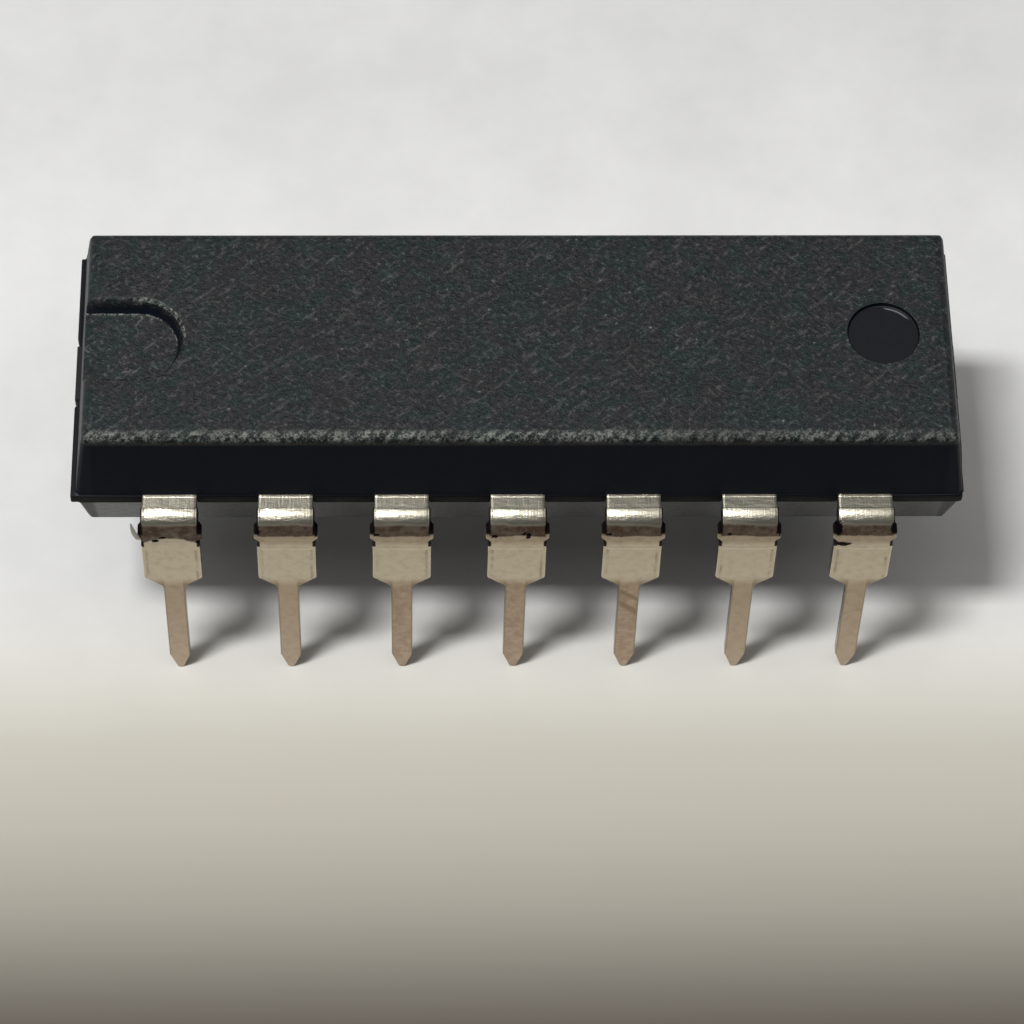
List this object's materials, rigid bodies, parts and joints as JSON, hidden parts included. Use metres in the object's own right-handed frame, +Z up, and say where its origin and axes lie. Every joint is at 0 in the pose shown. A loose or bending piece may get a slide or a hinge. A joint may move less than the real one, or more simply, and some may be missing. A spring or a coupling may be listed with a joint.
{
  "type": "dip integrated circuit chip",
  "caption": "Dual in-line integrated circuit: a drafted black moulded package with an index notch and two rows of stamped, bent leads, on its lead frame, die and bond wires.",
  "frame": {"origin": "on the plane of the lead tips, below the middle of the package", "axes": "+X along the package, away from the index notch; +Y towards the rear row of leads (pins 8 to 14); +Z up, from the tips to the top face"},
  "size_m": [0.0196, 0.0086, 0.0074],
  "materials": {
    "body": "matte moulded epoxy",
    "lead_metal": "dull tin plating over copper alloy, tarnished in places",
    "frame_metal": "bare copper alloy",
    "attach": "silver-filled adhesive",
    "die": "polished silicon",
    "wire": "gold"
  },
  "bodies": {
    "root": {"moulded_body": "body", "die_paddle": "frame_metal", "die_attach": "attach", "silicon_die": "die", "lead_01": "lead_metal", "lead_02": "lead_metal", "lead_03": "lead_metal", "lead_04": "lead_metal", "lead_05": "lead_metal", "lead_06": "lead_metal", "lead_07": "lead_metal", "lead_08": "lead_metal", "lead_09": "lead_metal", "lead_10": "lead_metal", "lead_11": "lead_metal", "lead_12": "lead_metal", "lead_13": "lead_metal", "lead_14": "lead_metal", "bond_wire_01": "wire", "bond_wire_02": "wire", "bond_wire_03": "wire", "bond_wire_04": "wire", "bond_wire_05": "wire", "bond_wire_06": "wire", "bond_wire_07": "wire", "bond_wire_08": "wire", "bond_wire_09": "wire", "bond_wire_10": "wire", "bond_wire_11": "wire", "bond_wire_12": "wire", "bond_wire_13": "wire", "bond_wire_14": "wire"}
  },
  "joints": []
}
